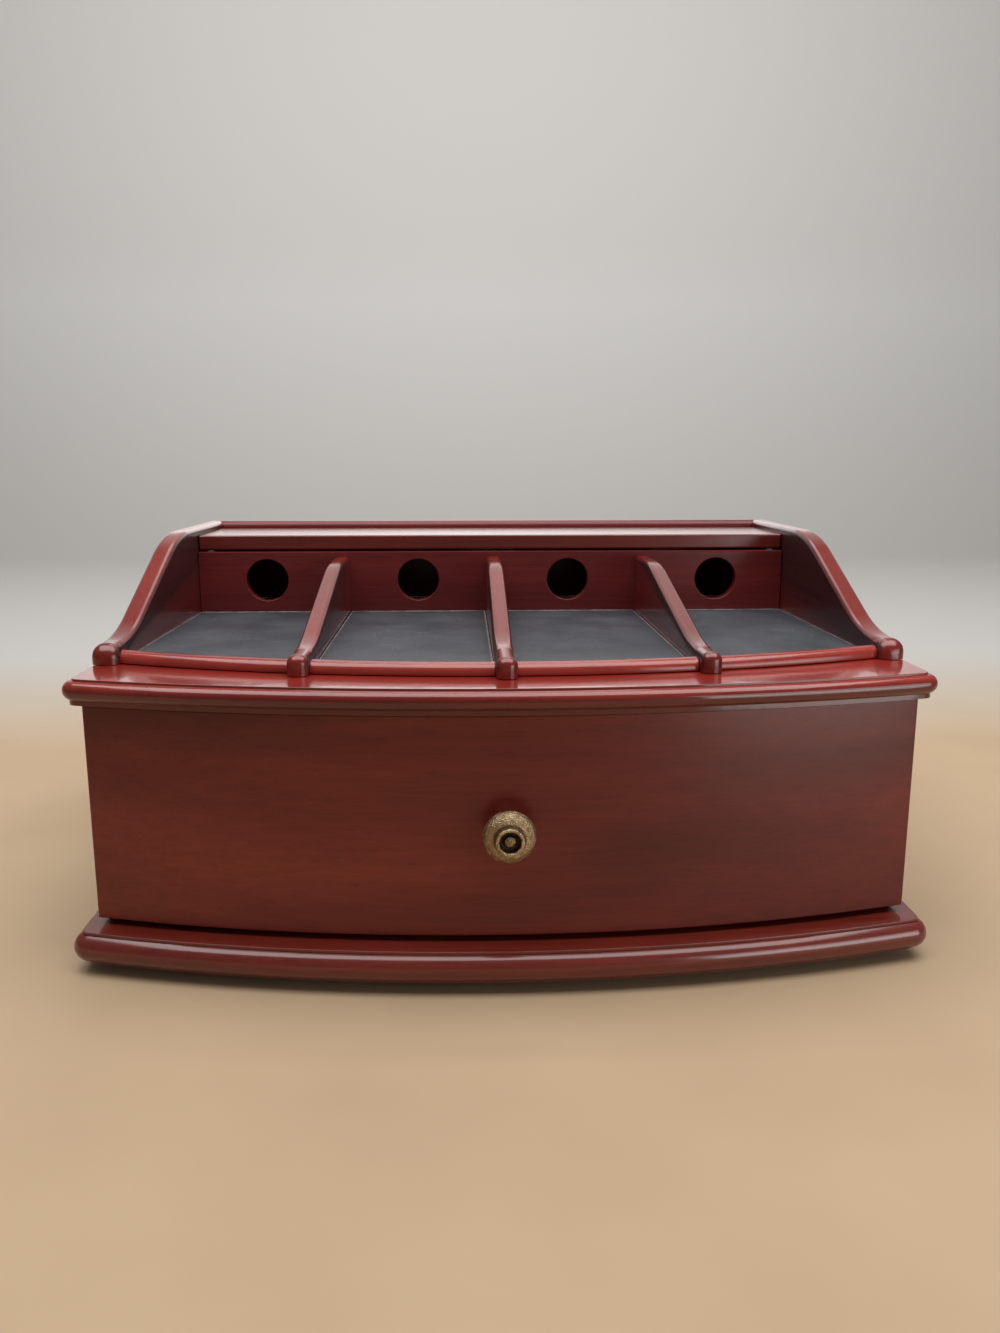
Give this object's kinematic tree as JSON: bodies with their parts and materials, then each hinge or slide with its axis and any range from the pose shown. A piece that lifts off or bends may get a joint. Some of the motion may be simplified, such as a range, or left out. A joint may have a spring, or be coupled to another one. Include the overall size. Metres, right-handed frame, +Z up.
{
  "type": "desktop charging organiser",
  "caption": "Bow-front desktop organiser with a sliding drawer, open device bays with padded floors and cord holes, and a lift-up lid over a cord compartment.",
  "frame": {"origin": "on the surface it stands on, under the middle of the overall box", "axes": "+X to the right seen from the front, +Y to the back, +Z up"},
  "size_m": [0.4208, 0.3368, 0.1995],
  "materials": {
    "lacquered_wood": "mahogany stain under satin-gloss lacquer",
    "drawer_wood": "thin stain, unpolished",
    "pad": "black leatherette with fine grain",
    "antique_brass": "dark patina, rubbed bright on the rims",
    "steel": "zinc plated",
    "felt": "dense felt",
    "dark_rubber": "matte"
  },
  "bodies": {
    "case": {"base_board": "lacquered_wood", "deck_board": "lacquered_wood", "carcass_side_left": "lacquered_wood", "carcass_side_right": "lacquered_wood", "lower_back_panel": "drawer_wood", "drawer_runner_left": "drawer_wood", "drawer_runner_right": "drawer_wood", "drawer_stop": "drawer_wood", "foot_front_left": "felt", "foot_front_right": "felt", "foot_rear_left": "felt", "foot_rear_right": "felt", "cheek_left": "lacquered_wood", "cheek_right": "lacquered_wood", "back_rail": "lacquered_wood", "cord_panel": "lacquered_wood", "divider_left": "lacquered_wood", "divider_middle": "lacquered_wood", "divider_right": "lacquered_wood", "bay_rail_1": "lacquered_wood", "bay_rail_2": "lacquered_wood", "bay_rail_3": "lacquered_wood", "bay_rail_4": "lacquered_wood", "bay_pad_1": "pad", "bay_pad_2": "pad", "bay_pad_3": "pad", "bay_pad_4": "pad", "lid_pin_left": "steel", "lid_pin_right": "steel", "lid_bumper_left": "dark_rubber", "lid_bumper_right": "dark_rubber"},
    "drawer": {"drawer_front": "lacquered_wood", "drawer_side_left": "drawer_wood", "drawer_side_right": "drawer_wood", "drawer_back": "drawer_wood", "drawer_bottom": "drawer_wood", "knob": "antique_brass", "knob_screw": "steel"},
    "lid": {"lid": "lacquered_wood"}
  },
  "joints": [
    {"name": "drawer_slide", "type": "slide", "parent": "case", "child": "drawer", "axis": [0, -1, 0], "range_m": [0, 0.19]},
    {"name": "lid_hinge", "type": "hinge", "parent": "case", "child": "lid", "pos_m": [0, 0.1512, 0.19025], "axis": [-1, 0, 0], "range_deg": [0, 95]}
  ]
}
